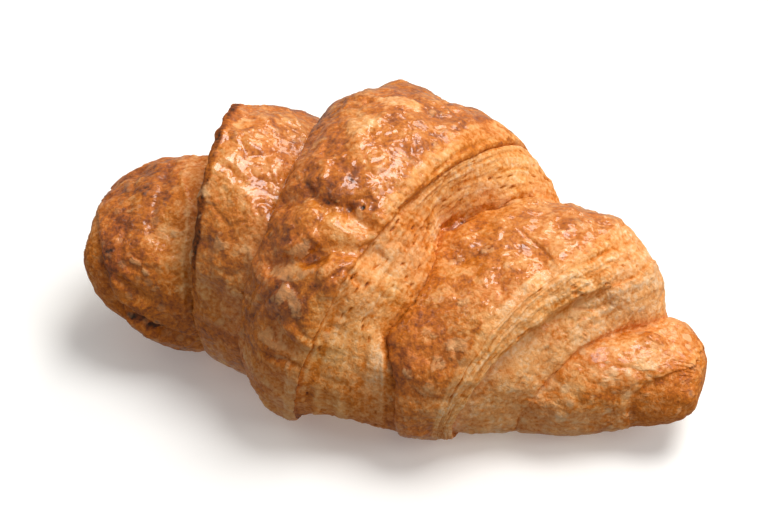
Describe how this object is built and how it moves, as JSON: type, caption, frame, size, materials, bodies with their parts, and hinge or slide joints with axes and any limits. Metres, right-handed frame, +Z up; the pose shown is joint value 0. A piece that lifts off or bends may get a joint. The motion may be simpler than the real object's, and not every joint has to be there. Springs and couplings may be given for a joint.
{
  "type": "mini croissant",
  "caption": "Small baked croissant: a short crescent of rolled, layered dough whose glazed bands step up to a tall middle and taper to blunt horns.",
  "frame": {"origin": "centre of the footprint's bounding box, on the surface that the croissant rests on", "axes": "+X along the croissant from the broad, blunt horn to the narrower horn, +Y towards the side that the two horns bend to, +Z up out of the flat base; the shown side faces -Y"},
  "size_m": [0.092, 0.0534, 0.04],
  "materials": {
    "crust": "egg-washed, baked to a glossy amber brown on the raised bands, with paler matte dough where the layers are stretched or cut"
  },
  "bodies": {
    "root": {"croissant": "crust"}
  },
  "joints": []
}
